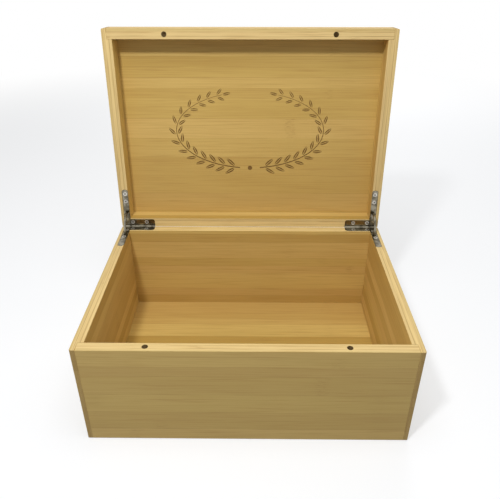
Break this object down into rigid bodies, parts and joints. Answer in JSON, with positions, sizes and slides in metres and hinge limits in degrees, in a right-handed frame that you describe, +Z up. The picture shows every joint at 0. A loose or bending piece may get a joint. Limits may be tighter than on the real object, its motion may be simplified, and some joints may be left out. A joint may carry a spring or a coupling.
{
  "type": "keepsake box",
  "caption": "Bamboo keepsake box with rabbeted corners and a lid on recessed L-shaped hinges, whose curved stays stop it just past upright; small magnets hold it shut.",
  "frame": {"origin": "centre of the tray's underside", "axes": "+X to the right, +Y to the back where the hinges are, +Z up; the front faces -Y"},
  "size_m": [0.28, 0.2441, 0.3029],
  "materials": {
    "bamboo_front": "satin varnish",
    "bamboo_side": "satin varnish",
    "bamboo_panel": "satin varnish",
    "nickel_plate": "bright nickel plate",
    "pin_steel": "drawn",
    "screw_steel": "nickel plated",
    "magnet": "dark plated"
  },
  "bodies": {
    "tray": {"tray_front_wall": "bamboo_front", "tray_back_wall": "bamboo_front", "tray_left_wall": "bamboo_side", "tray_right_wall": "bamboo_side", "tray_bottom_panel": "bamboo_panel", "tray_leaf_left": "nickel_plate", "tray_leaf_right": "nickel_plate", "hinge_pin_left": "pin_steel", "hinge_pin_right": "pin_steel", "tray_leaf_screws_left": "screw_steel", "tray_leaf_screws_right": "screw_steel", "tray_magnet_left": "magnet", "tray_magnet_right": "magnet"},
    "lid": {"lid_front_rail": "bamboo_front", "lid_back_rail": "bamboo_front", "lid_left_rail": "bamboo_side", "lid_right_rail": "bamboo_side", "lid_top_panel": "bamboo_panel", "lid_leaf_left": "nickel_plate", "lid_leaf_right": "nickel_plate", "lid_leaf_screws_left": "screw_steel", "lid_leaf_screws_right": "screw_steel", "lid_magnet_left": "magnet", "lid_magnet_right": "magnet"},
    "left_stay": {"stay_left": "nickel_plate"},
    "right_stay": {"stay_right": "nickel_plate"}
  },
  "joints": [
    {"name": "lid_hinge", "type": "hinge", "parent": "tray", "child": "lid", "pos_m": [0, 0.101, 0.10165], "axis": [1, 0, 0], "range_deg": [0, 95]},
    {"name": "left_stay_swing", "type": "hinge", "parent": "tray", "child": "left_stay", "pos_m": [-0.13365, 0.101, 0.10165], "axis": [1, 0, 0], "range_deg": [0, 47.5]},
    {"name": "right_stay_swing", "type": "hinge", "parent": "tray", "child": "right_stay", "pos_m": [0.13365, 0.101, 0.10165], "axis": [1, 0, 0], "range_deg": [0, 47.5]}
  ],
  "couplings": [
    {"joint": "left_stay_swing", "follows": "lid_hinge", "ratio": 0.5},
    {"joint": "right_stay_swing", "follows": "lid_hinge", "ratio": 0.5}
  ]
}
